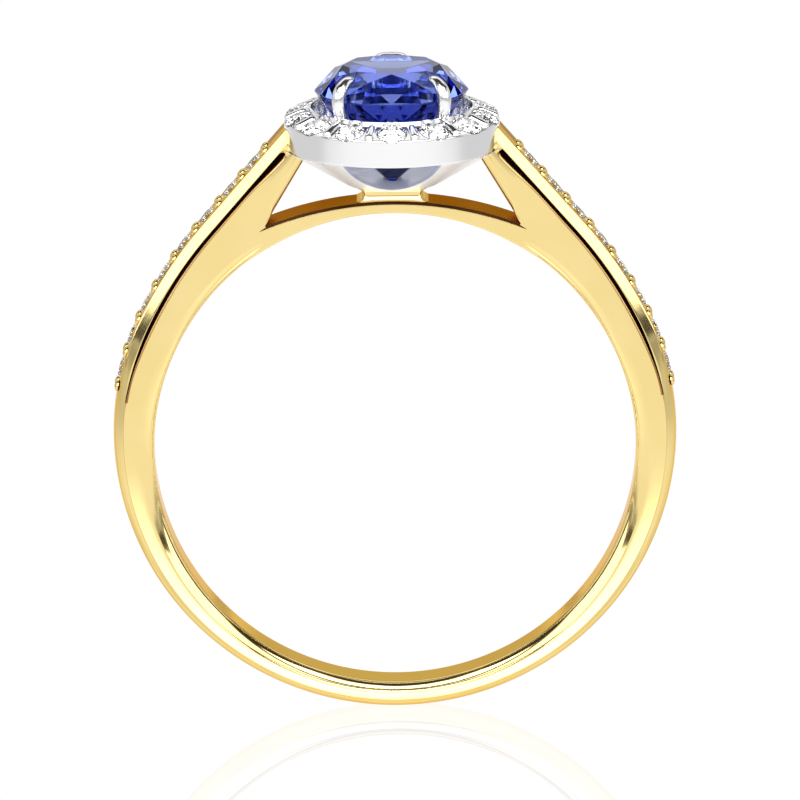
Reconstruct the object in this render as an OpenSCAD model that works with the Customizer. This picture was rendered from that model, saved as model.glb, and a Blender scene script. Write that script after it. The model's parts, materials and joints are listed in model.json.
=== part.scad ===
// Two-colour halo engagement ring: a yellow hoop with grain-set shoulders carries a white
// head, in which a ring of small diamonds surrounds a round blue stone held by three claws.
// The origin is the centre of the finger bore. The finger lies along Y and the head is at +Z.

/* [Hoop] */
// Diameter of the finger bore
bore_d = 17.3; // [14:0.1:22]
// Width of the hoop along the finger
hoop_w = 2; // [1.6:0.1:2.6]
// Thickness of the hoop opposite the head
base_t = 1; // [0.8:0.05:1.25]
// Thickness of the hoop at its sides
side_t = 1.46; // [1.3:0.02:1.8]
// Height of the dome across the outside of the hoop
dome_h = 0.22; // [0.1:0.02:0.4]
// Relief of the edges of the finger bore
edge_relief = 0.14; // [0.05:0.01:0.2]

/* [Shoulders] */
// Radius of the curve by which a shoulder leaves the hoop
shoulder_r = 15.6; // [13:0.2:20]
// Distance by which the straight of a shoulder passes outside the hoop's circle
shoulder_lift = 0.18; // [0.05:0.01:0.4]
// Height of the top of the halo wall over the end of a shoulder
shoulder_drop = 0.16; // [0.1:0.02:0.4]
// Width of the stone-set rail along the outside of a shoulder
rail_w = 1.9; // [1.6:0.1:2.6]
// Thickness of that rail
rail_t = 0.36; // [0.3:0.02:0.6]
// Depth of the groove under the rail, on each side
groove_depth = 0.14; // [0.05:0.01:0.25]
// Width of that groove
groove_w = 0.2; // [0.1:0.02:0.35]
// Thickness of a shoulder where it meets the head
arm_t = 1.2; // [1:0.05:1.5]
// Angle by which a shoulder thickens away from the head
arm_flare = 10; // [4:1:16]

/* [Gallery] */
// Thickness of the bridge under the head
bridge_t = 0.43; // [0.3:0.02:0.7]
// Width of the bridge along the finger
bridge_w = 1.6; // [1.2:0.1:2]
// Radius of the top of the bridge
bridge_r = 12.6; // [11:0.2:16]
// Height of the pad between the bridge and the cup
pad_h = 0.47; // [0.35:0.02:0.7]
// Width of the pad along the finger
pad_w = 1.5; // [1.2:0.1:2]
// Half length of the pad at its waist
pad_waist = 1.02; // [0.8:0.02:1.3]
// Flare of the pad's ends, above and below the waist
pad_flare = 0.26; // [0.1:0.02:0.4]

/* [Head] */
// Gap between the centre stone's girdle and the inside of the halo
halo_gap = 0.14; // [0.1:0.02:0.4]
// Width of the metal between the inside of the halo and its stones
halo_inner_land = 0.04; // [0.02:0.01:0.2]
// Width by which the halo stones' edges pass over the halo wall, which scallops it
halo_overhang = 0.06; // [0.02:0.01:0.1]
// Height of the halo wall
wall_h = 0.92; // [0.7:0.02:1.3]
// Thickness of the halo wall below its top
wall_t = 0.4; // [0.3:0.05:0.5]
// Height of the cup from the pad to the halo wall
cup_h = 1.4; // [1.1:0.05:1.8]
// Radius of the cup at the pad
cup_foot_r = 1.56; // [1.4:0.02:1.9]
// Thickness of the cup
cup_t = 0.26; // [0.2:0.02:0.4]
// Radius of the open foot of the cup
cup_hole_r = 0.9; // [0.6:0.05:1.1]
// Radius of the window in the front and the back of the cup
window_r = 1.86; // [1.4:0.02:2]
// Height of the lowest edge of that window over the pad
window_lift = 0.18; // [0.14:0.02:0.5]
// Height of the claw ring under the halo
ring_h = 0.3; // [0.2:0.02:0.4]
// Width of the claw ring inside the claws
ring_lip = 0.17; // [0.1:0.01:0.3]
// Height of the rim of the halo over its wall
rim_h = 0.06; // [0.02:0.01:0.1]
// Height of the collar around the inside of the halo
collar_h = 0.12; // [0.06:0.02:0.2]
// Width of that collar
collar_w = 0.14; // [0.08:0.02:0.2]
// Outward tilt of the halo's stones
halo_tilt = 22; // [10:1:30]

/* [Centre stone] */
// Diameter of the centre stone
stone_d = 5.5; // [4.6:0.1:6.6]
// Diameter of its table
table_d = 3.45; // [2.8:0.05:3.9]
// Height of its crown
crown_h = 0.9; // [0.6:0.02:1.1]
// Thickness of its girdle
girdle_t = 0.06; // [0.02:0.01:0.12]
// Depth of its pavilion
pavilion_h = 3.4; // [2.8:0.05:4.2]
// Radius at which the pavilion turns shallower towards the culet
knee_r = 0.8; // [0.5:0.05:1.2]
// Slope of the facets around the culet
culet_slope = 39; // [30:1:45]
// Height of the culet over the pad
culet_lift = 0.01; // [0:0.01:0.3]

/* [Claws] */
// Diameter of a front claw
claw_d = 0.52; // [0.4:0.02:0.7]
// Width of the back claw
back_claw_w = 1.3; // [0.8:0.05:1.6]
// Angle of each front claw from the front
claw_angle = 40; // [35:1:60]
// Length of a claw's tip over the crown, measured in from the girdle
claw_reach = 0.6; // [0.4:0.05:0.8]
// Height of a claw's top over the crown beneath it
claw_cover = 0.3; // [0.2:0.02:0.4]
// Height of the end face of a claw's tip
claw_end_h = 0.2; // [0.1:0.02:0.24]
// Thickness of a claw outside the girdle
claw_wall = 0.32; // [0.2:0.02:0.5]
// Radius of a claw's bend over the girdle
claw_turn_r = 0.47; // [0.36:0.01:0.5]

/* [Small stones] */
// Number of stones in the halo
halo_count = 14; // [10:1:16]
// Diameter of a halo stone
halo_stone_d = 1.06; // [0.8:0.02:1.2]
// Number of stones on each shoulder
shoulder_count = 8; // [4:1:9]
// Diameter of a shoulder stone
shoulder_stone_d = 0.9; // [0.7:0.02:1.1]
// Gap between neighbouring shoulder stones
shoulder_gap = 0.385; // [0.3:0.005:0.6]
// Depth of a shoulder stone's girdle below the outside of the shoulder
shoulder_sink = 0.08; // [0:0.01:0.12]
// Distance from the halo wall to the centre of the first shoulder stone
first_stone = 1.72; // [1.4:0.04:2]
// Radius of a grain between shoulder stones
grain_r = 0.22; // [0.12:0.01:0.24]
// Gap between a grain and the shoulder stones beside it
grain_gap = 0.06; // [0.02:0.01:0.12]
// Depth of a grain's centre below the outside of the shoulder
grain_sink = 0.11; // [0.05:0.01:0.12]
// Gap between a bar and the halo stones beside it
bar_gap = 0.06; // [0.04:0.01:0.12]

/* [Hidden] */
// Gap between a stone and its seat, and between a claw and the stone
seat_gap = 0.02;
// Gap between the culet and the relief in the pad
culet_gap = 0.1;
// Amount by which a cutting shape passes the faces that it cuts
over = 0.5;
$fn = 96;

// Hoop: the outer circle is larger than the bore and higher, so the sides are thicker.
bore_r = bore_d / 2;
hoop_r = bore_r + side_t;
hoop_z = side_t - base_t;

// Heights of the head, from the bore up.
bridge_top = bore_r + bridge_t;
pad_top = bridge_top + pad_h;
wall_bottom = pad_top + cup_h;
wall_top = wall_bottom + wall_h;
rim_top = wall_top + rim_h;
ring_top = wall_bottom + ring_h;
culet_z = pad_top + culet_lift;
girdle_z = culet_z + pavilion_h + girdle_t / 2;
table_z = girdle_z + girdle_t / 2 + crown_h;

// Halo: the stones lie on a cone that climbs inwards from the rim.
stone_r = stone_d / 2;
halo_in_r = stone_r + halo_gap;
halo_mid_r = halo_in_r + halo_inner_land + halo_stone_d / 2 * cos(halo_tilt);
halo_r = halo_mid_r + halo_stone_d / 2 * cos(halo_tilt) - halo_overhang;
ring_in_r = halo_in_r - claw_d - ring_lip;
bar_r = halo_mid_r * sin(180 / halo_count) - halo_stone_d / 2 - bar_gap;
function halo_top(r) = rim_top + (halo_r - r) * tan(halo_tilt);
collar_top = halo_top(halo_in_r) + collar_h;

// Shoulder: a straight line from its end on the halo wall, then a curve into the hoop.
end_p = [halo_r, wall_top - shoulder_drop];
hoop_c = [0, hoop_z];
end_reach = norm(end_p - hoop_c);
slope = atan2(end_p[0], end_p[1] - hoop_z) + acos((hoop_r + shoulder_lift) / end_reach);
down = [cos(slope), -sin(slope)];
inward = [-sin(slope), -cos(slope)];
to_curve = end_p + shoulder_r * inward - hoop_c;
along = to_curve * down;
straight = -along - sqrt(along ^ 2 - to_curve * to_curve + (shoulder_r - hoop_r) ^ 2);
curve_c = end_p + shoulder_r * inward + straight * down;
curve_from = 90 - slope;
curve_to = atan2(hoop_z - curve_c[1], -curve_c[0]);
curve_len = shoulder_r * (curve_from - curve_to) * PI / 180;

// Angle of the outward normal, and the point, at a distance s down the shoulder's outside.
function shoulder_turn(s) =
    s < straight ? curve_from :
    s < straight + curve_len ? curve_from - (s - straight) / shoulder_r * 180 / PI :
    curve_to - (s - straight - curve_len) / hoop_r * 180 / PI;
function shoulder_at(s, depth = 0) =
    let (a = shoulder_turn(s), n = [cos(a), sin(a)])
    s < straight ? end_p + s * down - depth * n :
    s < straight + curve_len ? curve_c + (shoulder_r - depth) * n :
    hoop_c + (hoop_r - depth) * n;

// Inner edge of the arm, which is also the side of the window beside the head.
inner_p = end_p + arm_t * inward;
inner_dir = [cos(slope + arm_flare), -sin(slope + arm_flare)];
bridge_c = [0, bridge_top - bridge_r];
function meets_circle(p, d, c, r) =
    let (q = p - c, b = q * d)
    p + d * (-b - sqrt(b ^ 2 - q * q + r ^ 2));
corner_p = meets_circle(inner_p, inner_dir, bridge_c, bridge_r);

shoulder_end = straight + curve_len;
shoulder_pitch = shoulder_stone_d + shoulder_gap;
rail_end = first_stone + shoulder_count * shoulder_pitch;
// The two grains of a gap stand clear of its stones and of each other.
grain_reach = shoulder_stone_d / 2 + grain_r + grain_gap;
grain_y = max(grain_r, sqrt(max(0, grain_reach ^ 2 - (shoulder_pitch / 2) ^ 2)));
// Number of stretches in the outline of a shoulder
rail_steps = 40;

// Cut of a brilliant: how far the star facets reach from the table to the girdle, and the lower
// halves from the knee to the girdle.
STAR_REACH = 0.45;
HALF_REACH = 0.32;
// Cut of the small stones, as shares of their diameter
MELEE_TABLE = 0.28;
MELEE_CROWN = 0.15;
MELEE_PAVILION = 0.43;
MELEE_GIRDLE = 0.03;
MELEE_KNEE = 0.42;
// Stretch of a claw's outside that stands upright, below and above the girdle
CLAW_BELOW = 0.1;
CLAW_ABOVE = 0.2;
// Depth below the halo's inner edge at which a claw leaves the stone's side
CLAW_HEEL = 0.4;
// Depth of a seat's cone, as a share of its radius, and the radius of its tip
SEAT_CONE = 0.9;
SEAT_TIP = 0.02;

GOLD = "#E8C565";
WHITE = "#E4E5E8";
DIAMOND = "#F4F7FB";
BLUE = "#3A3FB5";

// ---------------------------------------------------------------- stones

// Round brilliant with its girdle's mid plane at z = 0: r girdle radius, t table radius, ch and
// ph heights of crown and pavilion, g girdle thickness, kr and kz radius and height of the knee.
module brilliant(r, t, ch, ph, g, kr, kz) {
    crown_tan = ch / (r - t);
    star_r = t + STAR_REACH * (r - t);
    star_z = g / 2 + ch - (star_r * cos(22.5) - t) * crown_tan;
    half_r = kr + HALF_REACH * (r - kr);
    half_z = kz + (half_r * cos(22.5) - kr) * (-g / 2 - kz) / (r - kr);
    function ring(n, turn, rr, z) =
        [for (i = [0:n - 1]) [rr * cos(i * 360 / n + turn), rr * sin(i * 360 / n + turn), z]];
    points = concat(
        ring(8, 0, t, g / 2 + ch),
        ring(8, 22.5, star_r, star_z),
        ring(16, 0, r, g / 2),
        ring(16, 0, r, -g / 2),
        ring(8, 22.5, half_r, half_z),
        ring(8, 0, kr, kz),
        [[0, 0, -g / 2 - ph]]);
    T = 0;
    M = 8;
    G = 16;
    H = 32;
    L = 48;
    K = 56;
    C = 64;
    table = [for (i = [1:6]) [T, T + i + 1, T + i]];
    crown = [for (i = [0:7])
        let (j = (i + 1) % 8, p = (i + 7) % 8, a = 2 * i, b = 2 * i + 1, c = (2 * i + 2) % 16)
        each [
            [T + i, T + j, M + i],
            [T + i, M + i, G + a],
            [T + i, G + a, M + p],
            [M + i, G + b, G + a],
            [M + i, G + c, G + b]]];
    girdle = [for (i = [0:15])
        let (j = (i + 1) % 16)
        each [[G + i, G + j, H + j], [G + i, H + j, H + i]]];
    pavilion = [for (i = [0:7])
        let (j = (i + 1) % 8, p = (i + 7) % 8, a = 2 * i, b = 2 * i + 1, c = (2 * i + 2) % 16)
        each [
            [H + a, H + b, L + i],
            [H + b, H + c, L + i],
            [H + a, L + i, K + i],
            [H + a, K + i, L + p],
            [L + i, K + j, K + i],
            [K + i, K + j, C]]];
    polyhedron(points, concat(table, crown, girdle, pavilion), convexity = 4);
}

// Small brilliant of diameter d, with the proportions of a cut diamond.
module melee(d) {
    color(DIAMOND) brilliant(d / 2, d * MELEE_TABLE, d * MELEE_CROWN, d * MELEE_PAVILION,
        d * MELEE_GIRDLE, d * MELEE_GIRDLE, -d * MELEE_KNEE);
}

// Seat for a small stone of diameter d whose girdle lies at z = 0: a socket and a cone.
module seat(d) {
    r = d / 2 + seat_gap;
    translate([0, 0, -seat_gap]) cylinder(h = d, r = r);
    translate([0, 0, -r * SEAT_CONE - seat_gap]) cylinder(h = r * SEAT_CONE, r1 = SEAT_TIP, r2 = r);
}

module center_stone() {
    color(BLUE) translate([0, 0, girdle_z])
        brilliant(stone_r, table_d / 2, crown_h, pavilion_h, girdle_t, knee_r,
            culet_z - girdle_z + knee_r * tan(culet_slope));
}

// ---------------------------------------------------------------- places of the small stones

// Child at halo stone k, counted from the front, with +Z out of the stone's table.
module at_halo(k, r = halo_mid_r) {
    rotate([0, 0, k * 360 / halo_count - 90]) translate([r, 0, halo_top(r)])
        rotate([0, halo_tilt, 0]) children();
}

// Child on the outside of the right shoulder, s from the halo wall, with +Z outwards.
module at_shoulder(s, sink = 0) {
    p = shoulder_at(s, sink);
    translate([p[0], 0, p[1]]) rotate([0, 90 - shoulder_turn(s), 0]) children();
}

// Child on the right (side 1) or the left (side -1).
module on_side(side) {
    mirror([side < 0 ? 1 : 0, 0, 0]) children();
}

module halo_diamond(k) {
    at_halo(k) melee(halo_stone_d);
}

module shoulder_diamond(side, k) {
    on_side(side) at_shoulder(first_stone + (k - 1) * shoulder_pitch, shoulder_sink)
        melee(shoulder_stone_d);
}

// ---------------------------------------------------------------- shank

// Extrudes a drawing of the XZ plane by w along Y, centred.
module across(w) {
    rotate([90, 0, 0]) linear_extrude(w, center = true) children();
}

// Full hoop with a domed outside, before the bore is cut.
module hoop_blank() {
    dome_r = (hoop_w ^ 2 / 4 + dome_h ^ 2) / (2 * dome_h);
    translate([0, 0, hoop_z]) rotate([90, 0, 0]) rotate_extrude($fn = 180) intersection() {
        translate([0, -hoop_w / 2]) square([hoop_r, hoop_w]);
        translate([hoop_r - dome_r, 0]) circle(dome_r);
    }
}

// Finger bore with relieved edges.
module bore_cut() {
    rotate([90, 0, 0]) {
        cylinder(h = hoop_w + 2 * over, r = bore_r, center = true, $fn = 180);
        for (m = [0, 1]) mirror([0, 0, m])
            translate([0, 0, hoop_w / 2 - edge_relief])
                cylinder(h = 3 * edge_relief, r1 = bore_r, r2 = bore_r + 3 * edge_relief, $fn = 180);
    }
}

// Outline of one shoulder down to depth below its outside, along the stretch from a to b.
module shoulder_band(a, b, depth_from, depth_to) {
    polygon(concat(
        [for (i = [0:rail_steps]) shoulder_at(a + (b - a) * i / rail_steps, depth_from)],
        [for (i = [rail_steps:-1:0]) shoulder_at(a + (b - a) * i / rail_steps, depth_to)]));
}

// Everything outside the shoulders that the head and its windows need clear.
module head_space() {
    polygon([
        hoop_c,
        corner_p,
        inner_p,
        end_p + [0, over],
        [0, wall_top + over],
        [-end_p[0], end_p[1] + over],
        [-inner_p[0], inner_p[1]],
        [-corner_p[0], corner_p[1]]]);
}

// Solid that the cup and the halo wall fill, which the ends of the shoulders fit.
module head_envelope() {
    rotate_extrude() polygon([
        [0, pad_top],
        [cup_foot_r, pad_top],
        [halo_r, wall_bottom],
        [halo_r, table_z],
        [0, table_z]]);
}

module arm() {
    // The web fills the shoulder; the rail stands on it at full width.
    web_w = rail_w - 2 * groove_depth;
    across(web_w) polygon(concat(
        [for (i = [0:rail_steps]) shoulder_at(shoulder_end * i / rail_steps, rail_t / 2)],
        [hoop_c, corner_p, inner_p]));
    across(rail_w) difference() {
        polygon(concat(
            [for (i = [0:rail_steps]) shoulder_at(rail_end * i / rail_steps)],
            [hoop_c, corner_p, inner_p]));
        shoulder_band(0, rail_end - 2 * shoulder_pitch, rail_t, rail_t + groove_w);
    }
}

module shank() {
    color(GOLD) difference() {
        union() {
            hoop_blank();
            for (side = [1, -1]) on_side(side) arm();
        }
        bore_cut();
        across(hoop_w + 2 * over) head_space();
        head_envelope();
        for (side = [1, -1]) on_side(side) for (k = [0:shoulder_count - 1])
            at_shoulder(first_stone + k * shoulder_pitch, shoulder_sink) seat(shoulder_stone_d);
    }
}

// Grains that hold the shoulder stones: a pair in each gap and a pair past each end stone.
module shoulder_grains(side) {
    color(GOLD) on_side(side) for (k = [0:shoulder_count])
        at_shoulder(first_stone + (k - 0.5) * shoulder_pitch)
            for (m = [-1, 1]) translate([0, m * grain_y, 0]) intersection() {
                translate([0, 0, -grain_sink]) sphere(grain_r, $fn = 32);
                translate([-grain_r, -grain_r, 0]) cube([2 * grain_r, 2 * grain_r, grain_r]);
            }
}

// ---------------------------------------------------------------- gallery

module bridge() {
    color(GOLD) difference() {
        across(bridge_w) intersection() {
            head_space();
            translate(bridge_c) circle(bridge_r, $fn = 240);
        }
        bore_cut();
    }
}

module head_pad() {
    color(GOLD) difference() {
        across(pad_w) difference() {
            polygon([
                [-pad_waist - pad_flare, bridge_top - pad_h],
                [-pad_waist - pad_flare, bridge_top],
                [-pad_waist, (bridge_top + pad_top) / 2],
                [-pad_waist - pad_flare, pad_top],
                [pad_waist + pad_flare, pad_top],
                [pad_waist, (bridge_top + pad_top) / 2],
                [pad_waist + pad_flare, bridge_top],
                [pad_waist + pad_flare, bridge_top - pad_h]]);
            translate(bridge_c) circle(bridge_r, $fn = 240);
        }
        // Relief for the culet.
        relief = culet_z - culet_gap;
        translate([0, 0, relief]) cylinder(h = table_z - relief, r = cup_hole_r / 2);
    }
}

module gallery_cup() {
    lift = cup_t / cos(atan2(cup_h, halo_r - cup_foot_r));
    rise = cup_h / (halo_r - cup_foot_r);
    floor_r = cup_foot_r - (lift - cup_t) / rise;
    color(WHITE) difference() {
        rotate_extrude() polygon([
            [cup_hole_r, pad_top],
            [cup_foot_r, pad_top],
            [halo_r, wall_bottom],
            [halo_r - lift / rise, wall_bottom],
            [floor_r, pad_top + cup_t],
            [cup_hole_r, pad_top + cup_t]]);
        translate([0, 0, pad_top + window_lift + window_r]) rotate([90, 0, 0])
            cylinder(h = 3 * halo_r, r = window_r, center = true);
    }
}

// ---------------------------------------------------------------- head

// Ring under the halo that the claws stand on.
module claw_ring() {
    color(WHITE) translate([0, 0, wall_bottom]) difference() {
        cylinder(h = ring_h, r = halo_r - wall_t);
        translate([0, 0, -over]) cylinder(h = ring_h + 2 * over, r = ring_in_r);
    }
}

module halo_frame() {
    color(WHITE) difference() {
        rotate_extrude() polygon([
            [halo_r, wall_bottom],
            [halo_r, rim_top],
            [halo_in_r + collar_w, halo_top(halo_in_r + collar_w)],
            [halo_in_r + collar_w / 2, collar_top],
            [halo_in_r, collar_top],
            [halo_in_r, ring_top],
            [halo_r - wall_t, ring_top],
            [halo_r - wall_t, wall_bottom]]);
        for (k = [0:halo_count - 1]) at_halo(k) seat(halo_stone_d);
    }
}

// Bars between neighbouring halo stones, each with rounded ends.
module halo_bars() {
    long = halo_stone_d / 2;
    color(WHITE) for (k = [0:halo_count - 1]) at_halo(k + 0.5) intersection() {
        union() {
            rotate([0, 90, 0]) cylinder(h = long, r = bar_r, center = true, $fn = 32);
            for (m = [-1, 1]) translate([m * long / 2, 0, 0]) sphere(bar_r, $fn = 32);
        }
        translate([-long, -bar_r, 0]) cube([2 * long, 2 * bar_r, bar_r]);
    }
}

// Side view of a claw, with X outwards: up from the claw ring inside the halo, round the girdle
// and in over the crown, less the stone and its gap.
module claw_side() {
    crown_slope = atan2(crown_h, stone_r - table_d / 2);
    back = halo_in_r - seat_gap;
    girdle_out = stone_r + claw_wall;
    tip = [stone_r - claw_reach, girdle_z + claw_reach * tan(crown_slope)];
    bend = [girdle_out - claw_turn_r, tip[1] + claw_cover - claw_turn_r];
    difference() {
        union() {
            polygon([
                [back - claw_d, ring_top],
                [back, ring_top],
                [back, collar_top + seat_gap],
                [girdle_out, girdle_z - CLAW_BELOW],
                [girdle_out, girdle_z + CLAW_ABOVE],
                [bend[0], tip[1] + claw_cover],
                [tip[0], tip[1] + claw_end_h],
                tip,
                [stone_r, girdle_z],
                [back - claw_d, halo_top(halo_in_r) - CLAW_HEEL]]);
            translate(bend) circle(claw_turn_r);
        }
        polygon([
            [0, girdle_z - pavilion_h],
            [stone_r + seat_gap, girdle_z - girdle_t / 2 - seat_gap],
            [stone_r + seat_gap, girdle_z + girdle_t / 2 + seat_gap],
            [table_d / 2, table_z + seat_gap],
            [0, table_z + seat_gap]]);
        square([table_d / 2, table_z + over]);
    }
}

// A claw of width w at an angle from the front, fitted to the round inside of the halo.
module claw(angle, w) {
    color(WHITE) difference() {
        rotate([0, 0, angle - 90]) across(w) claw_side();
        rotate_extrude() translate([halo_in_r - seat_gap, ring_top - over])
            square([halo_r, collar_top + seat_gap + over - ring_top]);
    }
}

// ---------------------------------------------------------------- nodes

shank();
bridge();
head_pad();
gallery_cup();
claw_ring();
halo_frame();
halo_bars();
claw(-claw_angle, claw_d);  // claw_front_left
claw(claw_angle, claw_d);  // claw_front_right
claw(180, back_claw_w);  // claw_back
center_stone();
shoulder_grains(-1);  // left_shoulder_grains
shoulder_grains(1);  // right_shoulder_grains
for (k = [1:halo_count])
    halo_diamond(k - 1);
for (k = [1:shoulder_count])
    shoulder_diamond(-1, k);
for (k = [1:shoulder_count])
    shoulder_diamond(1, k);
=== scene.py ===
"""Looks of the two-colour halo ring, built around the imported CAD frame."""

import json
import math

import bmesh
import bpy
from mathutils import Matrix, Vector


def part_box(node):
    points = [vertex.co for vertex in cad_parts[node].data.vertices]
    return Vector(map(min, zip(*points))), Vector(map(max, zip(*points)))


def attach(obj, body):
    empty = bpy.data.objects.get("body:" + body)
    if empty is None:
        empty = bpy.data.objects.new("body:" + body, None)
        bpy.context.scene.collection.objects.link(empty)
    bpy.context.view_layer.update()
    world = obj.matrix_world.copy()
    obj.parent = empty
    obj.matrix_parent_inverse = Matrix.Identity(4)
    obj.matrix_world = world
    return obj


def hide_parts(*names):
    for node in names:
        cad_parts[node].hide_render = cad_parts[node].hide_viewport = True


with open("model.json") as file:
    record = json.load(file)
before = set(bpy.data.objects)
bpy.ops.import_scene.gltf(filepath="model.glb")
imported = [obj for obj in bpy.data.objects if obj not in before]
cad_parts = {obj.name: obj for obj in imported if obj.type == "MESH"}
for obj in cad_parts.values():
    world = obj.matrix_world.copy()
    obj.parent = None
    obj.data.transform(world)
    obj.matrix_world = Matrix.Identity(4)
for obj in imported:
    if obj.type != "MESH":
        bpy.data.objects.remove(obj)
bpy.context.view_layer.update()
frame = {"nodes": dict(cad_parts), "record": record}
nodes = frame["nodes"]

MM = 0.001


# ---------------------------------------------------------------- sizes, in millimetres

def corners(node):
    """Lowest and highest corner of a CAD node, in millimetres."""
    low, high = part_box(node)
    return low / MM, high / MM


shank_low, shank_high = corners("shank")
halo_low, halo_high = corners("halo_frame")
pad_high = corners("head_pad")[1]
stone_high = corners("center_stone")[1]

# Hoop and bridge
BORE_R = frame["record"]["mounts"][0]["dims"]["r_mm"]
HOOP_R = shank_high.x
HOOP_Z = shank_low.z + HOOP_R
HOOP_HALF_W = shank_high.y
BRIDGE_TOP = corners("bridge")[1].z
BRIDGE_R = 12.6
PAD_TOP = pad_high.z

# Centre stone
STONE_R = stone_high.x
TABLE_Z = stone_high.z
CROWN_H = 0.9
GIRDLE_T = 0.06
GIRDLE_Z = TABLE_Z - CROWN_H - GIRDLE_T / 2

# Halo: a plain wall outside, a slope that holds the stones, and a collar round the centre stone
HALO_R = halo_high.x
STONE_GAP = 0.14
HALO_IN_R = STONE_R + STONE_GAP
HALO_TILT = math.radians(22)
RIM_W = 0.07
RIM_DROP = 0.06
COLLAR_H = 0.12
COLLAR_W = 0.14
COLLAR_TOP = halo_high.z
RIM_TOP = COLLAR_TOP - COLLAR_H - (HALO_R - HALO_IN_R) * math.tan(HALO_TILT)
WALL_TOP = RIM_TOP - RIM_DROP
WALL_BOTTOM = halo_low.z
RING_TOP = corners("claw_ring")[1].z

# Shoulders
SHOULDER_R = 15.6
SHOULDER_LIFT = 0.18
SHOULDER_DROP = 0.16
RAIL_HALF_W = 0.95
WEB_HALF_W = 0.81
ARM_T = 1.2
ARM_FLARE = math.radians(10)

# Cup under the halo, with a window through its front and its back
CUP_FOOT_R = 1.56
CUP_HOLE_R = 0.34
CUP_T = 0.26
CUP_WALL = 0.42
WINDOW_R = 1.86
WINDOW_LIFT = 0.18

# Small stones
SEAT_GAP = 0.02
SEAT_CHAMFER = 0.04
HALO_COUNT = 14
HALO_STONE_D = 1.06
HALO_SEAT_CHAMFER = 0.05
HALO_SEAT_WALL = 0.04
HALO_MID_R = HALO_IN_R + HALO_SEAT_WALL + HALO_STONE_D / 2 * math.cos(HALO_TILT)
SHOULDER_COUNT = 8
SHOULDER_STONE_D = 0.9
SHOULDER_SINK = 0.08


# ---------------------------------------------------------------- meshes

# A turned shape stays this far from the axis, and a rounded corner keeps this much beside it flat.
AXIS_R = 0.001
FLAT_MARGIN = 0.03


def smoothstep(low, high, x):
    """0 below low, 1 above high, and an easy rise between them."""
    t = min(1, max(0, (x - low) / (high - low)))
    return t * t * (3 - 2 * t)


def mix(a, b, t):
    return a + (b - a) * t


def smooth_by_angle(obj, degrees):
    """Smooth shading with a sharp edge wherever two faces meet at more than this angle."""
    mesh = obj.data
    mesh.shade_smooth()
    bm = bmesh.new()
    bm.from_mesh(mesh)
    limit = math.radians(degrees)
    for edge in bm.edges:
        edge.smooth = len(edge.link_faces) == 2 and edge.calc_face_angle(0) < limit
    bm.to_mesh(mesh)
    bm.free()


def make_object(name, verts, faces, materials=(), smooth_angle=30, marks=None):
    """Mesh object from points in millimetres. marks gives each face's material slot."""
    mesh = bpy.data.meshes.new(name)
    mesh.from_pydata([Vector(v) * MM for v in verts], [], faces)
    if marks:
        mesh.polygons.foreach_set("material_index", marks)
    bm = bmesh.new()
    bm.from_mesh(mesh)
    bmesh.ops.remove_doubles(bm, verts=bm.verts, dist=1e-7)
    bmesh.ops.dissolve_degenerate(bm, edges=bm.edges, dist=1e-8)
    bmesh.ops.recalc_face_normals(bm, faces=bm.faces)
    bm.to_mesh(mesh)
    bm.free()
    obj = bpy.data.objects.new(name, mesh)
    bpy.context.scene.collection.objects.link(obj)
    for material in materials:
        mesh.materials.append(material)
    smooth_by_angle(obj, smooth_angle)
    return obj


def merged(name, parts, materials=()):
    """One object from several pairs of points and faces."""
    verts = []
    faces = []
    for part_verts, part_faces in parts:
        base = len(verts)
        verts += part_verts
        faces += [tuple(base + i for i in face) for face in part_faces]
    return make_object(name, verts, faces, materials)


def loft(name, rows, materials=(), closed=False, smooth_angle=30, mark=None):
    """Surface through rows of points, where each row is a closed loop. The rows close on
    themselves, or else the first and last get a flat end. mark(i, k) gives the material slot of
    the face between rows i and i + 1 at point k."""
    width = len(rows[0])
    verts = [p for row in rows for p in row]
    faces = []
    marks = []
    for i in range(len(rows) if closed else len(rows) - 1):
        j = (i + 1) % len(rows)
        for k in range(width):
            m = (k + 1) % width
            faces.append((i * width + k, i * width + m, j * width + m, j * width + k))
            marks.append(mark(i, k) if mark else 0)
    if not closed:
        marks += [0, 0]
        faces.append(tuple(range(width)))
        last = (len(rows) - 1) * width
        faces.append(tuple(last + k for k in reversed(range(width))))
    return make_object(name, verts, faces, materials, smooth_angle, marks)


def revolve(name, profile, materials=(), steps=192):
    """Closed profile of (r, z) turned about the Z axis."""
    rows = []
    for i in range(steps):
        a = 2 * math.pi * i / steps
        rows.append([(r * math.cos(a), r * math.sin(a), z) for r, z in profile])
    return loft(name, rows, materials, closed=True)


def rings(matrix, loops, steps, point):
    """Points of several loops of steps points each, and the faces between the loops. Each of the
    loops is what point(loop, angle) takes to place a point in the frame of matrix."""
    verts = []
    for loop in loops:
        for i in range(steps):
            verts.append(matrix @ Vector(point(loop, 2 * math.pi * i / steps)))
    faces = []
    for j in range(len(loops) - 1):
        for i in range(steps):
            k = (i + 1) % steps
            faces.append((j * steps + i, j * steps + k, (j + 1) * steps + k, (j + 1) * steps + i))
    return verts, faces


def end_faces(count, steps):
    """Faces that close the first and the last of count loops."""
    last = (count - 1) * steps
    return [tuple(range(steps)), tuple(last + i for i in reversed(range(steps)))]


def bezier(a, b, c, n):
    """n + 1 points of the quadratic curve from a to c that b pulls."""
    points = []
    for i in range(n + 1):
        t = i / n
        points.append(a * (1 - t) ** 2 + b * 2 * t * (1 - t) + c * t ** 2)
    return points


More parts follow.
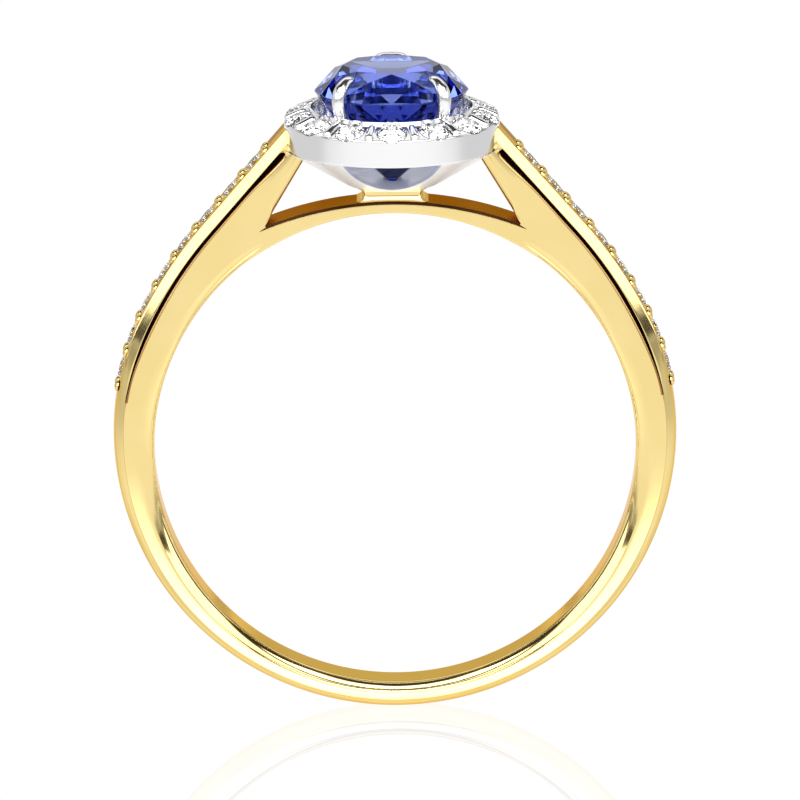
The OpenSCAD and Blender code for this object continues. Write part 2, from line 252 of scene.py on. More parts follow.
def rounded(points, radii, n, closed=False):
    """The polyline with each corner rounded by its radius, n + 3 points to a corner. The first and
    the last of them lie on the straight parts and keep those flat."""
    points = [Vector(p) for p in points]
    out = []
    count = len(points)
    for i, p in enumerate(points):
        if not closed and i in (0, count - 1):
            out.append(p)
            continue
        before = points[i - 1] - p
        after = points[(i + 1) % count] - p
        pull_in = min(radii[i], before.length * 0.49)
        pull_out = min(radii[i], after.length * 0.49)
        margin_in = min(FLAT_MARGIN, (before.length / 2 - pull_in) * 0.8)
        margin_out = min(FLAT_MARGIN, (after.length / 2 - pull_out) * 0.8)
        before.normalize()
        after.normalize()
        out.append(p + before * (pull_in + margin_in))
        out.extend(bezier(p + before * pull_in, p, p + after * pull_out, n))
        out.append(p + after * (pull_out + margin_out))
    return out


def catmull(points, n):
    """Smooth curve through the points, n steps to each stretch."""
    pts = [2 * points[0] - points[1]] + points + [2 * points[-1] - points[-2]]
    out = []
    for i in range(1, len(pts) - 2):
        a, b, c, d = pts[i - 1:i + 3]
        for j in range(n):
            t = j / n
            out.append(0.5 * (2 * b + (c - a) * t + (2 * a - 5 * b + 4 * c - d) * t ** 2
                              + (3 * b - a - 3 * c + d) * t ** 3))
    out.append(points[-1])
    return out


def mirrored(half, place):
    """Loop of points from half an outline of (distance, width), on both sides of Y = 0.
    place(distance, width) gives a point."""
    return ([place(d, w) for d, w in half]
            + [place(d, -w) for d, w in reversed(half[1:-1])])


def cut(obj, cutters, smooth_angle=30):
    """Cuts the cutters out of obj and removes them."""
    for cutter in cutters:
        mod = obj.modifiers.new("cut", "BOOLEAN")
        mod.operation = "DIFFERENCE"
        mod.solver = "EXACT"
        mod.object = cutter
    graph = bpy.context.evaluated_depsgraph_get()
    mesh = bpy.data.meshes.new_from_object(obj.evaluated_get(graph))
    obj.modifiers.clear()
    old = obj.data
    obj.data = mesh
    mesh.name = obj.name
    bpy.data.meshes.remove(old)
    for cutter in cutters:
        bpy.data.objects.remove(cutter)
    smooth_by_angle(obj, smooth_angle)
    return obj


def show(obj, slot, *replaced):
    """A finished piece: it rides on the ring's one body and stands for CAD nodes."""
    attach(obj, "root")
    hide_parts(*replaced)


# ---------------------------------------------------------------- materials

def new_material(name):
    material = bpy.data.materials.new(name)
    material.use_nodes = True
    tree = material.node_tree
    return material, tree, tree.nodes["Principled BSDF"]


def noise(tree, place, scale, detail):
    """Cloudy pattern, from 0 to 1."""
    node = tree.nodes.new("ShaderNodeTexNoise")
    node.inputs["Scale"].default_value = scale
    node.inputs["Detail"].default_value = detail
    tree.links.new(place, node.inputs["Vector"])
    return node.outputs["Fac"]


def tint(tree, x, low, high, at_low, at_high):
    """Colour that runs from one to another while x runs from low to high."""
    node = tree.nodes.new("ShaderNodeValToRGB")
    for stop, position, colour in zip(node.color_ramp.elements, (low, high), (at_low, at_high)):
        stop.position = position
        stop.color = (*colour, 1)
    tree.links.new(x, node.inputs["Fac"])
    return node.outputs["Color"]


def ramp(tree, x, low, high, at_low, at_high):
    """Number that eases from one value to another as x runs from low to high."""
    node = tree.nodes.new("ShaderNodeMapRange")
    node.interpolation_type = "SMOOTHSTEP"
    for socket, number in (("From Min", low), ("From Max", high), ("To Min", at_low), ("To Max", at_high)):
        node.inputs[socket].default_value = number
    tree.links.new(x, node.inputs["Value"])
    return node.outputs["Result"]


def value(tree, operation, *terms):
    """Result of a maths node. Each term is a number or another node's output."""
    node = tree.nodes.new("ShaderNodeMath")
    node.operation = operation
    for socket, term in zip(node.inputs, terms):
        if isinstance(term, (int, float)):
            socket.default_value = term
        else:
            tree.links.new(term, socket)
    return node.outputs[0]


def metal(name, light, dark, roughness, wear, metallic=1, edge=(1, 1, 1)):
    """Polished metal: slightly uneven colour and polish, with fine handling scratches. edge tints
    what it mirrors at a glancing angle."""
    material, tree, shader = new_material(name)
    link = tree.links.new
    place = tree.nodes.new("ShaderNodeTexCoord").outputs["Object"]
    cloud = noise(tree, place, scale=420, detail=3)
    link(tint(tree, cloud, 0.3, 0.7, dark, light), shader.inputs["Base Color"])
    polish = tree.nodes.new("ShaderNodeMapRange")
    polish.inputs["To Min"].default_value = roughness * 0.6
    polish.inputs["To Max"].default_value = roughness * 1.5
    link(cloud, polish.inputs["Value"])
    link(polish.outputs["Result"], shader.inputs["Roughness"])
    stretch = tree.nodes.new("ShaderNodeMapping")
    stretch.inputs["Scale"].default_value = (1, 7, 1)
    link(place, stretch.inputs["Vector"])
    bump = tree.nodes.new("ShaderNodeBump")
    bump.inputs["Strength"].default_value = wear
    bump.inputs["Distance"].default_value = 0.004 * MM
    link(noise(tree, stretch.outputs["Vector"], scale=2600, detail=4), bump.inputs["Height"])
    link(bump.outputs["Normal"], shader.inputs["Normal"])
    shader.inputs["Metallic"].default_value = metallic
    shader.inputs["Specular Tint"].default_value = (*edge, 1)
    return material


def gem(name, colour, ior, sheen=(1, 1, 1), absorb=None, density=0):
    """Clear faceted stone, with faint growth clouds in its colour. absorb is the colour that it
    takes on in depth, and sheen tints what its facets mirror."""
    material, tree, shader = new_material(name)
    place = tree.nodes.new("ShaderNodeTexCoord").outputs["Object"]
    cloud = noise(tree, place, scale=500, detail=2)
    clouded = [c * 0.93 for c in colour]
    tree.links.new(tint(tree, cloud, 0, 1, clouded, colour), shader.inputs["Base Color"])
    shader.inputs["Transmission Weight"].default_value = 1
    shader.inputs["Roughness"].default_value = 0
    shader.inputs["IOR"].default_value = ior
    shader.inputs["Specular Tint"].default_value = (*sheen, 1)
    if absorb:
        volume = tree.nodes.new("ShaderNodeVolumeAbsorption")
        volume.inputs["Color"].default_value = (*absorb, 1)
        volume.inputs["Density"].default_value = density
        tree.links.new(volume.outputs["Volume"], tree.nodes["Material Output"].inputs["Volume"])
    return material


gold = metal("yellow_gold", (0.93, 0.74, 0.335), (0.90, 0.70, 0.285),
             roughness=0.08, wear=0.25, edge=(0.82, 0.58, 0.26))
# Painted shade: near-black gold for the dark line along the shank's groove and the bridge's upper edge.
gold_painted_shade_line = metal("gold_painted_shade_line", (0.04, 0.016, 0.005), (0.02, 0.008, 0.003),
                    roughness=0.3, wear=0.5, edge=(0.1, 0.04, 0.01))
# Painted shade: brown gold for the groove's slope and the bridge's top face.
gold_shadow = metal("gold_shadow", (0.60, 0.33, 0.12), (0.42, 0.21, 0.07),
                    roughness=0.2, wear=0.5, edge=(0.6, 0.33, 0.12))
white_gold = metal("white_gold", (0.95, 0.95, 0.955), (0.92, 0.92, 0.925), roughness=0.13, wear=0.2)
satin_white_gold = metal("satin_white_gold", (0.94, 0.94, 0.94), (0.90, 0.90, 0.905),
                         roughness=0.3, wear=0.4, metallic=0.25)
tanzanite = gem("tanzanite", (0.64, 0.74, 0.88), ior=1.7, sheen=(0.25, 0.32, 0.7),
                absorb=(0.26, 0.34, 0.80), density=430)
diamond = gem("diamond", (0.99, 0.99, 1.0), ior=2.4)

# Slots of a shaded yellow piece: plain, the deep line along it in painted dark shade, and the face in
# painted shade.
SHADED_GOLD = (gold, gold_painted_shade_line, gold_shadow)
PLAIN, PAINTED_SHADE_LINE, SHADOW = range(3)


# ---------------------------------------------------------------- shoulder outline in the XZ plane

# The outside runs straight down from the halo, then in a wide curve into the hoop's circle.
end_p = Vector((HALO_R, WALL_TOP - SHOULDER_DROP))
hoop_c = Vector((0, HOOP_Z))
end_reach = (end_p - hoop_c).length
slope = math.atan2(end_p.x, end_p.y - HOOP_Z) + math.acos((HOOP_R + SHOULDER_LIFT) / end_reach)
down = Vector((math.cos(slope), -math.sin(slope)))
inward = Vector((-math.sin(slope), -math.cos(slope)))
to_curve = end_p + SHOULDER_R * inward - hoop_c
along = to_curve.dot(down)
straight = -along - math.sqrt(along ** 2 - to_curve.dot(to_curve) + (SHOULDER_R - HOOP_R) ** 2)
curve_c = end_p + SHOULDER_R * inward + straight * down
curve_from = math.pi / 2 - slope
curve_to = math.atan2(HOOP_Z - curve_c.y, -curve_c.x)
curve_len = SHOULDER_R * (curve_from - curve_to)
shoulder_end = straight + curve_len
bottom_s = shoulder_end + HOOP_R * (curve_to + math.pi / 2)


def outside(s):
    """Point and outward normal at a distance s down the outside of the right half."""
    if s < straight:
        n = Vector((math.cos(curve_from), math.sin(curve_from)))
        return end_p + s * down, n
    if s < shoulder_end:
        a = curve_from - (s - straight) / SHOULDER_R
        n = Vector((math.cos(a), math.sin(a)))
        return curve_c + SHOULDER_R * n, n
    a = curve_to - (s - shoulder_end) / HOOP_R
    n = Vector((math.cos(a), math.sin(a)))
    return hoop_c + HOOP_R * n, n


def meet_circle(p, d, centre, r):
    """Distance along d from p to the circle, on the way in."""
    q = p - centre
    b = q.dot(d)
    return -b - math.sqrt(b * b - q.dot(q) + r * r)


# The inside runs along the side window to the bridge, and then along the bore.
bore_c = Vector((0, 0))
inner_p = end_p + ARM_T * inward
inner_dir = Vector((math.cos(slope + ARM_FLARE), -math.sin(slope + ARM_FLARE)))
bridge_c = Vector((0, BRIDGE_TOP - BRIDGE_R))
corner_p = inner_p + inner_dir * meet_circle(inner_p, inner_dir, bridge_c, BRIDGE_R)
to_hoop = (hoop_c - corner_p).normalized()
foot_p = corner_p + to_hoop * meet_circle(corner_p, to_hoop, bore_c, BORE_R)
corner_s = (corner_p - end_p).dot(down)
foot_s = (foot_p - end_p).dot(down)


def inside(s):
    """Point on the inner outline that faces the outside at s."""
    p, n = outside(s)
    if s <= corner_s:
        # Where the line inwards crosses the side of the window.
        w = p - inner_p
        t = (w.x * n.y - w.y * n.x) / (inner_dir.x * n.y - inner_dir.y * n.x)
        return inner_p + inner_dir * t
    if s <= foot_s:
        return corner_p.lerp(foot_p, (s - corner_s) / (foot_s - corner_s))
    return p - n * meet_circle(p, -n, bore_c, BORE_R)


def shoulder_frame(side, s, depth=0):
    """Matrix at s on a shoulder's outside, with Z outwards and X along the shoulder."""
    p, n = outside(s)
    p = p - n * depth
    z = Vector((side * n.x, 0, n.y))
    y = Vector((0, 1, 0))
    x = y.cross(z)
    m = Matrix((x, y, z)).transposed().to_4x4()
    m.translation = Vector((side * p.x, 0, p.y))
    return m


def stone_station(k):
    """Distance s of shoulder stone k, from where its CAD node sits, to a hundredth of a
    millimetre."""
    low, high = corners(f"right_shoulder_diamond_{k}")
    centre = Vector(((low.x + high.x) / 2, (low.z + high.z) / 2))

    def offset(s):
        p, n = outside(s)
        return abs((p - centre).dot(Vector((n.y, -n.x))))

    stations = [i / 100 for i in range(1500)]
    return min((s for s in stations if (outside(s)[0] - centre).length < 1), key=offset)


stone_s = [stone_station(k) for k in range(1, SHOULDER_COUNT + 1)]
SHOULDER_PITCH = (stone_s[-1] - stone_s[0]) / (SHOULDER_COUNT - 1)


# ---------------------------------------------------------------- shank

# Points to a rounded corner: the arc's, and one beyond each of its ends.
ROUNDING = 5
PER_CORNER = ROUNDING + 3

# Where the shoulder's section fades into the hoop's, as distances from the halo.
FADE_FROM = 9.2
FADE_TO = 12.6

# Sizes on the shoulder and on the hoop: the rail's thickness, its lip, the rise of the outside to
# its middle, and the chamfer along the inside.
RAIL_T = (0.40, 0.36)
LIP_W = (0.14, 0.24)
OUTSIDE_RISE = (0.02, 0.2)
CHAMFER_T = (0.12, 0.16)
CHAMFER_W = (0.05, 0.12)

# The groove under the rail. It opens into a deeper pocket near the halo, closes just before it,
# and narrows to nothing where the hoop begins.
GROOVE_DEEP = 0.22
GROOVE_T = 0.125
GROOVE_END_T = 0.02
GROOVE_END = (8.2, 11.8)
POCKET_FROM = 0.78
POCKET_TO = 2.7
POCKET_CLOSE = 0.22
POCKET_DEEPER = 0.12
POCKET_WIDER = 0.1

# The web under the groove widens along the shoulder, and its sides are slightly full.
WEB_WIDENS = (5, 13)
WEB_FULL = 0.035

# The faces along the half section that lie in the groove and on its slope, and the distances from
# the halo between which they are dark with painted shade.
GROOVE_FROM = 2 * PER_CORNER + 5
GROOVE_TO = 4 * PER_CORNER - 2
SLOPE_TO = 4 * PER_CORNER + 5
PAINTED_SHADE_FROM = POCKET_FROM - 0.15
PAINTED_SHADE_TO = FADE_TO - 0.9

# The sections start inside the head, whose space is cut out of them.
FIRST_ROW = -0.9
SHOULDER_STEP = 0.1
HOOP_STEP = 0.22


def shank_section(s):
    """Outer point, unit vector inwards and half section of the shank at s. The half section runs
    from the outside's middle to the inside's, as (depth, half width)."""
    p, n = outside(s)
    q = inside(s)
    t = (q - p).length
    hoop = smoothstep(FADE_FROM, FADE_TO, s)
    opening = 1 - smoothstep(POCKET_FROM, POCKET_TO, s)
    shut = smoothstep(POCKET_FROM - POCKET_CLOSE, POCKET_FROM, s)
    width = mix(RAIL_HALF_W, HOOP_HALF_W, hoop)
    groove = mix(GROOVE_DEEP + POCKET_DEEPER * opening, 0.0, hoop) * shut
    gap = mix(GROOVE_T + POCKET_WIDER * opening, GROOVE_END_T, smoothstep(*GROOVE_END, s))
    web = mix(WEB_HALF_W, HOOP_HALF_W - 0.01, smoothstep(*WEB_WIDENS, s))
    full = WEB_FULL * smoothstep(0.2, 1.5, abs(s - corner_s)) * (1 - 0.8 * hoop)
    rise = mix(*OUTSIDE_RISE, hoop)
    rail = mix(*RAIL_T, hoop)
    web_from = rail + gap
    lip = mix(*LIP_W, hoop)
    edge = mix(*CHAMFER_T, hoop)
    edge_w = mix(*CHAMFER_W, hoop)
    # The edge is square where the bridge joins.
    eased = smoothstep(0.1, 0.7, max(corner_s - s, s - foot_s))
    points = [
        (0, 0),
        (rise * 0.25, width * 0.5),
        (rise, width - lip),
        (rail, width - 0.08 * hoop),
        (rail + gap * 0.6, mix(width, web, 0.5) - groove - 0.03 * hoop),
        (web_from, web - 0.02 * hoop),
        ((web_from + t) / 2, web + full),
        (t - edge - 0.2, web - 0.03 * hoop),
        (t - edge, web - edge_w * eased),
        (t, web - (edge_w + edge) * eased),
        (t, 0)]
    radii = [0, 0.2, mix(0.05, 0.2, hoop), mix(0.03, 0.15, hoop), 0.04, mix(0.09, 0.1, hoop),
             0.5, 0.01 + 0.11 * eased, 0.01 + 0.09 * eased, 0.01 + 0.08 * eased, 0]
    return p, (q - p) / t, rounded(points, radii, ROUNDING)


def shank_stations():
    """Distances from the halo at which the shank's section is drawn, closer on the shoulder."""
    stations = [corner_s, foot_s]
    s = FIRST_ROW
    while s < bottom_s:
        stations.append(s)
        s += SHOULDER_STEP if s < FADE_TO + 0.5 else HOOP_STEP
    return sorted(stations)


def shank_rows(side, stations):
    """Full sections of the shank at the stations, on the right (1) or the left (-1)."""
    rows = []
    for s in stations:
        p, into, half = shank_section(s)
        rows.append(mirrored(half, lambda d, w: (side * (p + into * d).x, -w, (p + into * d).y)))
    return rows


def seat_cutter(d, matrix, chamfer):
    """Socket and cone for a small stone of diameter d, opening out at the top."""
    r = d / 2 + SEAT_GAP
    profile = [(AXIS_R, -r * 0.95), (r, -SEAT_GAP * 1.5), (r, 0.02), (r + chamfer, 0.02 + chamfer),
               (r + chamfer, d), (AXIS_R, d)]
    steps = 40

    def point(loop, a):
        radius, z = loop
        return radius * math.cos(a), radius * math.sin(a), z

    verts, faces = rings(matrix, profile, steps, point)
    return verts, faces + end_faces(len(profile), steps)


def build_shank():
    stations = shank_stations()
    path = stations + stations[::-1]
    rows = shank_rows(-1, stations) + shank_rows(1, stations)[::-1]
    width = len(rows[0])

    # Painted shade: faces in the groove get the painted dark line, those on its slope the painted shade.
    def mark(i, k):
        k = min(k, width - 1 - k)
        if not PAINTED_SHADE_FROM < path[i] < PAINTED_SHADE_TO or not GROOVE_FROM <= k <= SLOPE_TO:
            return PLAIN
        return PAINTED_SHADE_LINE if k <= GROOVE_TO else SHADOW

    shank = loft("shank_body", rows, SHADED_GOLD, smooth_angle=38, mark=mark)
    head_r = HALO_R + 0.005
    head = revolve("head_space", [(AXIS_R, PAD_TOP), (CUP_FOOT_R, PAD_TOP), (head_r, WALL_BOTTOM),
                                  (head_r, TABLE_Z), (AXIS_R, TABLE_Z)])
    seats = merged("seats", [
        seat_cutter(SHOULDER_STONE_D, shoulder_frame(side, s, SHOULDER_SINK), SEAT_CHAMFER)
        for side in (1, -1) for s in stone_s])
    return cut(shank, [head, seats], 38)


# ---------------------------------------------------------------- grains

# A pair of grains stands between every two shoulder stones, and one beyond each end of the row.
GRAIN_Y = 0.347
GRAIN_LONG = 0.21
GRAIN_WIDE = 0.2
GRAIN_H = 0.13
GRAIN_SINK = 0.02


def grain(matrix, steps=20, levels=8):
    """Small dome standing on the plane of matrix, sunk a little into it."""
    def point(level, b):
        a = math.pi / 2 * level / levels
        return (GRAIN_LONG * math.cos(a) * math.cos(b), GRAIN_WIDE * math.cos(a) * math.sin(b),
                GRAIN_H * math.sin(a) - GRAIN_SINK)

    verts, sides = rings(matrix, range(levels), steps, point)
    verts.append(matrix @ Vector((0, 0, GRAIN_H - GRAIN_SINK)))
    base = (levels - 1) * steps
    tip = [(base + i, base + (i + 1) % steps, levels * steps) for i in range(steps)]
    return verts, [tuple(reversed(range(steps)))] + sides + tip


def build_grains(side, name):
    parts = []
    for k in range(SHOULDER_COUNT + 1):
        s = stone_s[0] + (k - 0.5) * SHOULDER_PITCH
        for m in (-1, 1):
            parts.append(grain(shoulder_frame(side, s) @ Matrix.Translation((0, m * GRAIN_Y, 0))))
    return merged(name, parts, [gold])


# ---------------------------------------------------------------- bridge and pad

# The bridge stands a little proud of the webs, and its ends run on into the shoulders and sink
# away in them.
BRIDGE_PROUD = 0.03
BRIDGE_END = 0.13
BRIDGE_SINK = 0.12
BRIDGE_ROWS = 90

# The chamfer along its upper edges.
BRIDGE_CHAMFER_T = 0.11
BRIDGE_CHAMFER_W = 0.06


def build_bridge():
    at_corner = math.atan2(corner_p.x, corner_p.y)
    reach = at_corner + BRIDGE_END
    proud = WEB_HALF_W + BRIDGE_PROUD
    to_centre = -bridge_c
    rows = []
    for i in range(BRIDGE_ROWS + 1):
        a = mix(-reach, reach, i / BRIDGE_ROWS)
        ray = Vector((math.sin(a), math.cos(a)))
        b = to_centre.dot(ray)
        top = -b + math.sqrt(b * b - to_centre.dot(to_centre) + BRIDGE_R ** 2)
        into_shoulder = min(1, max(0, (abs(a) - at_corner) / (reach - at_corner)))
        half_w = mix(proud, proud - BRIDGE_SINK, into_shoulder)
        half = rounded(
            [(BORE_R, 0), (BORE_R, -half_w + 0.05), (BORE_R + 0.04, -half_w),
             (top - BRIDGE_CHAMFER_T, -half_w), (top, -half_w + BRIDGE_CHAMFER_W), (top, 0)],
            [0, 0.02, 0.02, 0.03, 0.03, 0], ROUNDING)
        rows.append(mirrored(half, lambda r, w: (ray.x * r, w, ray.y * r)))
    width = len(rows[0])

    # Painted shade: the chamfer along the upper edge gets the painted dark line, the top face the painted
    # shade.
    def mark(i, k):
        k = min(k, width - 1 - k)
        if k < 3 * PER_CORNER - 4:
            return PLAIN
        return PAINTED_SHADE_LINE if k < 4 * PER_CORNER - 4 else SHADOW

    return loft("bridge_bar", rows, SHADED_GOLD, smooth_angle=38, mark=mark)


PAD_WAIST = 0.26
PAD_WAIST_Y = 0.08
PAD_SINK = 0.04
PAD_CORNER_R = 0.12
PAD_LEVELS = 12


def build_pad():
    """Waisted pad between the bridge and the cup, with rounded ends."""
    bottom = BRIDGE_TOP - PAD_SINK
    rows = []
    for j in range(PAD_LEVELS + 1):
        u = j / PAD_LEVELS
        flare = (2 * u - 1) ** 2
        long = mix(pad_high.x - PAD_WAIST, pad_high.x, flare)
        wide = pad_high.y - PAD_WAIST_Y * (1 - flare)
        z = bottom + (PAD_TOP - bottom) * u
        outline = rounded([(-long, -wide), (long, -wide), (long, wide), (-long, wide)],
                          [PAD_CORNER_R] * 4, 6, closed=True)
        rows.append([(x, y, z) for x, y in outline])
    return loft("pad", rows, [gold], smooth_angle=38)


# ---------------------------------------------------------------- cup

def build_cup():
    """Cup with a round window through its front and its back."""
    profile = rounded(
        [(CUP_HOLE_R, PAD_TOP), (CUP_FOOT_R - 0.02, PAD_TOP), (HALO_R, WALL_BOTTOM),
         (HALO_R - CUP_WALL, WALL_BOTTOM), (CUP_FOOT_R - 0.12, PAD_TOP + CUP_T),
         (CUP_HOLE_R, PAD_TOP + CUP_T)],
        [0.04, 0.3, 0.02, 0.02, 0.25, 0.04], 6, closed=True)
    cup = revolve("cup", profile, [satin_white_gold], 224)
    centre_z = PAD_TOP + WINDOW_LIFT + WINDOW_R
    steps = 96
    rows = []
    for y in (-2 * HALO_R, 2 * HALO_R):
        turns = [2 * math.pi * i / steps for i in range(steps)]
        rows.append([(WINDOW_R * math.cos(a), y, centre_z + WINDOW_R * math.sin(a)) for a in turns])
    return cut(cup, [loft("window", rows)])


# ---------------------------------------------------------------- halo

HALO_WALL = 0.4
BAR_R = 0.17


def halo_top(r):
    """Height of the halo's slope at a radius."""
    return RIM_TOP + (HALO_R - r) * math.tan(HALO_TILT)


def halo_frame_at(k):
    """Matrix at halo stone k, counted from the front, with Z out of its table."""
    turn = Matrix.Rotation(2 * math.pi * k / HALO_COUNT - math.pi / 2, 4, "Z")
    tilt = Matrix.Rotation(HALO_TILT, 4, "Y")
    return turn @ Matrix.Translation((HALO_MID_R, 0, halo_top(HALO_MID_R))) @ tilt


def build_halo():
    collar_r = HALO_IN_R + COLLAR_W
    profile = rounded(
        [(HALO_R, WALL_BOTTOM), (HALO_R, RIM_TOP), (HALO_R - RIM_W, halo_top(HALO_R - RIM_W) + 0.005),
         (collar_r, halo_top(collar_r)), (HALO_IN_R + COLLAR_W / 2, COLLAR_TOP),
         (HALO_IN_R, COLLAR_TOP), (HALO_IN_R, RING_TOP), (HALO_R - HALO_WALL, RING_TOP),
         (HALO_R - HALO_WALL, WALL_BOTTOM)],
        [0.05, 0.05, 0.02, 0.05, 0.04, 0.04, 0.02, 0.02, 0.02], 5, closed=True)
    halo = revolve("halo", profile, [white_gold], 224)
    seats = merged("seats", [
        seat_cutter(HALO_STONE_D, halo_frame_at(k), HALO_SEAT_CHAMFER) for k in range(HALO_COUNT)])
    return cut(halo, [seats])


def capsule(matrix, length, r, steps=24, levels=6):
    """Bar with round ends along X, standing half out of the plane of matrix."""
    loops = []
    for i in range(levels + 1):
        a = math.pi / 2 * (1 - i / levels)
        loops.append((-length / 2 - r * math.sin(a), max(r * math.cos(a), 1e-4)))
    loops += [(-x, q) for x, q in reversed(loops)]

    def point(loop, b):
        return loop[0], loop[1] * math.cos(b), loop[1] * math.sin(b)

    verts, faces = rings(matrix, loops, steps, point)
    return verts, faces + end_faces(len(loops), steps)


def build_bars():
    """The raised bar between every two halo stones."""
    parts = [capsule(halo_frame_at(k + 0.5), HALO_STONE_D / 2, BAR_R) for k in range(HALO_COUNT)]
    return merged("bars", parts, [white_gold])


# ---------------------------------------------------------------- claws

CLAW_ANGLE = 40
CLAW_DEEP = 0.26
CLAW_HALF_W = 0.25
REAR_CLAW_HALF_W = 0.62
CLAW_TIP_FROM = 0.9
CLAW_STEPS = 28


def build_claw(name, angle, half_w, square=1.0, narrowing=1.0):
    """Claw in the plane at an angle from the front. The path is that of its middle, from the claw
    ring up inside the halo, round the girdle and in over the crown. A square below 1 makes its
    section boxier, and narrowing is the share of its taper that its width takes."""
    turn = Matrix.Rotation(math.radians(angle) - math.pi / 2, 4, "Z")
    path = catmull([Vector(p) for p in (
        (HALO_IN_R - 0.27, RING_TOP),
        (HALO_IN_R - 0.25, WALL_TOP + 0.1),
        (STONE_R + 0.06, GIRDLE_Z - 0.45),
        (STONE_R + 0.16, GIRDLE_Z + 0.05),
        (STONE_R + 0.05, GIRDLE_Z + 0.42),
        (STONE_R - 0.28, GIRDLE_Z + 0.66),
        (STONE_R - 0.66, GIRDLE_Z + 0.66))], 8)
    rows = []
    last = len(path) - 1
    for i, p in enumerate(path):
        ahead = (path[min(i + 1, last)] - path[max(i - 1, 0)]).normalized()
        across = Vector((ahead.y, -ahead.x))
        u = i / last
        taper = mix(1, 0.72, smoothstep(0.55, 1, u))
        if u > CLAW_TIP_FROM:
            taper *= math.sqrt(max(0.02, 1 - ((u - CLAW_TIP_FROM) / (1 - CLAW_TIP_FROM)) ** 2))
        deep = CLAW_DEEP * taper
        wide = half_w * mix(1, taper, narrowing)
        row = []
        for j in range(CLAW_STEPS):
            a = 2 * math.pi * j / CLAW_STEPS
            c, d = (math.copysign(abs(x) ** square, x) for x in (math.cos(a), math.sin(a)))
            q = p + across * deep * c
            row.append(turn @ Vector((q.x, wide * d, q.y)))
        rows.append(row)
    claw = loft(name, rows, [white_gold], smooth_angle=45)
    return cut(claw, [stone_space()], 45)


def stone_space():
    """The centre stone's CAD shape, grown by the seat's gap."""
    grow = 1 + SEAT_GAP / STONE_R
    source = nodes["center_stone"].data
    base = Vector((0, 0, GIRDLE_Z))
    verts = [(v.co / MM - base) * grow + base for v in source.vertices]
    return make_object("stone_space", verts, [tuple(f.vertices) for f in source.polygons], smooth_angle=5)


# ---------------------------------------------------------------- the ring

show(build_shank(), "yellow_gold", "shank")
show(build_grains(-1, "left_grains"), "yellow_gold", "left_shoulder_grains")
show(build_grains(1, "right_grains"), "yellow_gold", "right_shoulder_grains")
show(build_bridge(), "yellow_gold", "bridge")
show(build_pad(), "yellow_gold", "head_pad")
show(build_cup(), "white_gold", "gallery_cup")
show(build_halo(), "white_gold", "halo_frame")
show(build_bars(), "white_gold", "halo_bars")
show(build_claw("claw_left", -CLAW_ANGLE, CLAW_HALF_W), "white_gold", "claw_front_left")
show(build_claw("claw_right", CLAW_ANGLE, CLAW_HALF_W), "white_gold", "claw_front_right")
show(build_claw("claw_rear", 180, REAR_CLAW_HALF_W, square=0.7, narrowing=0.4), "white_gold", "claw_back")


def set_material(node, material):
    """Gives a CAD node that stays in view its finished material."""
    mesh = nodes[node].data
    mesh.materials.clear()
    mesh.materials.append(material)


set_material("claw_ring", white_gold)
set_material("center_stone", tanzanite)
for k in range(1, HALO_COUNT + 1):
    set_material(f"halo_diamond_{k}", diamond)
for k in range(1, SHOULDER_COUNT + 1):
    set_material(f"left_shoulder_diamond_{k}", diamond)
    set_material(f"right_shoulder_diamond_{k}", diamond)


# ---------------------------------------------------------------- studio

FLOOR_HALF = 600

# The floor mirrors the ring faintly, and the mirroring fades out between these distances.
MIRROR_FROM = 10
MIRROR_TO = 42


def build_floor():
    """Pale gloss floor that glows as painted light: bright under and behind the ring, softer to the sides.
    """
    z = shank_low.z
    obj = make_object("floor", [(-FLOOR_HALF, -FLOOR_HALF, z), (FLOOR_HALF, -FLOOR_HALF, z),
                                (FLOOR_HALF, FLOOR_HALF, z), (-FLOOR_HALF, FLOOR_HALF, z)], [(0, 1, 2, 3)])
    material, tree, shader = new_material("floor_painted_glow_and_gloss")
    link = tree.links.new
    add = tree.nodes.new

    def fade(x, low, high, at_low, at_high):
        return ramp(tree, x, low * MM, high * MM, at_low, at_high)

    place = add("ShaderNodeTexCoord").outputs["Object"]
    parts = add("ShaderNodeSeparateXYZ")
    link(place, parts.inputs["Vector"])
    side = value(tree, "ABSOLUTE", parts.outputs["X"])
    wider = value(tree, "ADD", side, fade(parts.outputs["Y"], -40, 10, -45 * MM, 0))
    reach = add("ShaderNodeVectorMath")
    reach.operation = "LENGTH"
    link(place, reach.inputs[0])
    far = reach.outputs["Value"]
    glow = value(tree, "MULTIPLY", fade(wider, 20, 85, 1.02, 0.68), fade(far, 135, 260, 1.0, 0.6))
    # Where the floor mirrors, its painted glow is a little stronger, so that it stays as bright.
    lifted = value(tree, "MULTIPLY", glow, fade(far, MIRROR_FROM, MIRROR_TO, 1.06, 1.0))
    light = add("ShaderNodeEmission")
    light.inputs["Color"].default_value = (1, 1, 1, 1)
    link(lifted, light.inputs["Strength"])
    gloss = add("ShaderNodeBsdfGlossy")
    gloss.inputs["Color"].default_value = (1, 1, 1, 1)
    gloss.inputs["Roughness"].default_value = 0.0
    blend = add("ShaderNodeMixShader")
    link(fade(far, MIRROR_FROM, MIRROR_TO, 0.2, 0.0), blend.inputs[0])
    link(light.outputs[0], blend.inputs[1])
    link(gloss.outputs[0], blend.inputs[2])
    link(blend.outputs[0], tree.nodes["Material Output"].inputs["Surface"])
    tree.nodes.remove(shader)
    obj.data.materials.append(material)


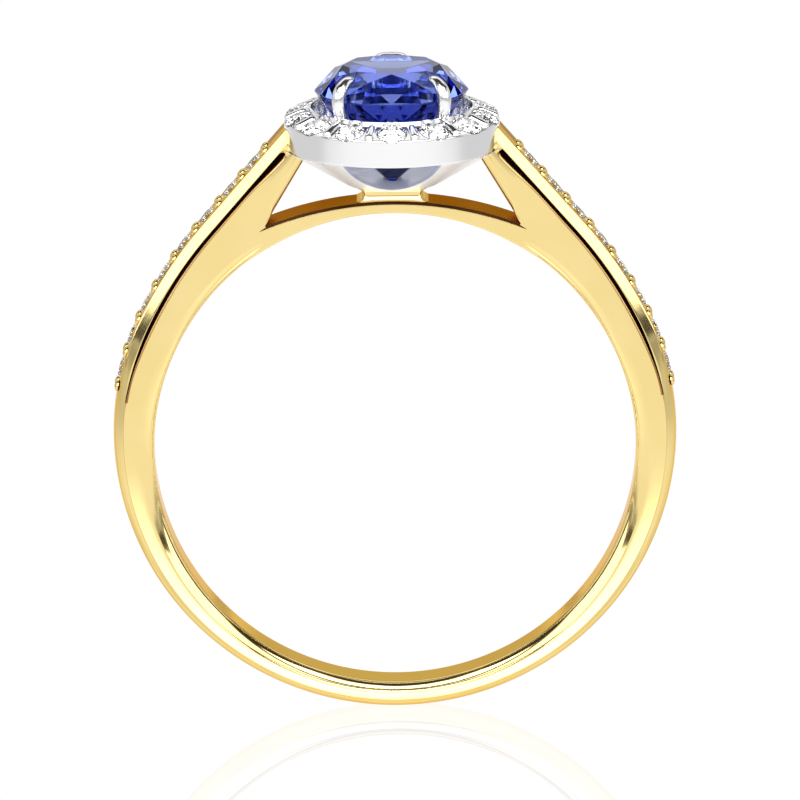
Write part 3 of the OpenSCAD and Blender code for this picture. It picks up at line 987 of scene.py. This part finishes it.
# Soft boxes of the studio, on both sides alike. Each has the angles from the front between which
# it stands in radians, the sines of its lower and upper edges' heights, and its power. The dark
# gaps between them draw the dark lines along the metal's edges.
SOFT_BOXES = (
    (-1, 1.25, 0.08, 0.55, 2.2),
    (-1, 0.35, 0.24, 0.44, 9.0),
    (-1, 0.9, 0.66, 0.86, 4.5),
    (1.42, 1.95, 0.06, 0.62, 0.9),
    (2.1, 4, 0.02, 0.42, 0.7),
    (0.8, 4, -0.02, 0.06, 0.4),
    (2.1, 4, 0.55, 0.90, 1.0))
SOFT_EDGE = 0.05
LIGHT_BELOW = 0.6
LIGHT_BETWEEN = 0.04


def build_world():
    """Soft boxes around and above the ring."""
    world = bpy.data.worlds.new("tent")
    bpy.context.scene.world = world
    world.use_nodes = True
    tree = world.node_tree

    def window(x, low, high, low_edge):
        """1 while x is between low and high, and 0 outside."""
        return value(tree, "MULTIPLY", ramp(tree, x, low - low_edge, low + low_edge, 0, 1),
                     ramp(tree, x, high - SOFT_EDGE, high + SOFT_EDGE, 1, 0))

    parts = tree.nodes.new("ShaderNodeSeparateXYZ")
    tree.links.new(tree.nodes.new("ShaderNodeTexCoord").outputs["Generated"], parts.inputs["Vector"])
    x, y, z = parts.outputs
    side = value(tree, "ABSOLUTE", value(tree, "ARCTAN2", x, value(tree, "MULTIPLY", y, -1)))
    strength = ramp(tree, z, 0.0, 0.01, LIGHT_BELOW, LIGHT_BETWEEN)
    for side_from, side_to, z_from, z_to, power in SOFT_BOXES:
        box = value(tree, "MULTIPLY", window(side, side_from, side_to, SOFT_EDGE),
                    window(z, z_from, z_to, SOFT_EDGE / 4))
        strength = value(tree, "ADD", strength, value(tree, "MULTIPLY", box, power))
    background = tree.nodes["Background"]
    background.inputs["Color"].default_value = (1, 1, 1, 1)
    tree.links.new(strength, background.inputs["Strength"])


build_floor()
build_world()


# ---------------------------------------------------------------- camera

DISTANCE = 500
ELEVATION = math.radians(13.3)
ROLL = math.radians(0.6)
AIM = Vector((0.19, 0, 1.60))
VIEW_WIDTH = 28.72


def build_camera():
    """Long lens in front of the ring, looking slightly down."""
    data = bpy.data.cameras.new("camera")
    data.sensor_width = 36
    data.lens = data.sensor_width * DISTANCE / VIEW_WIDTH
    data.clip_start = 0.01
    camera = bpy.data.objects.new("camera", data)
    bpy.context.scene.collection.objects.link(camera)
    back = Vector((0, -math.cos(ELEVATION), math.sin(ELEVATION)))
    camera.location = (AIM + DISTANCE * back) * MM
    turn = Matrix.Rotation(-ROLL, 3, back) @ back.to_track_quat("Z", "Y").to_matrix()
    camera.rotation_euler = turn.to_euler()
    bpy.context.scene.camera = camera


build_camera()
bpy.context.scene.view_settings.view_transform = "Standard"
bpy.context.scene.cycles.max_bounces = 24
bpy.context.scene.cycles.transmission_bounces = 20
bpy.context.scene.cycles.glossy_bounces = 8
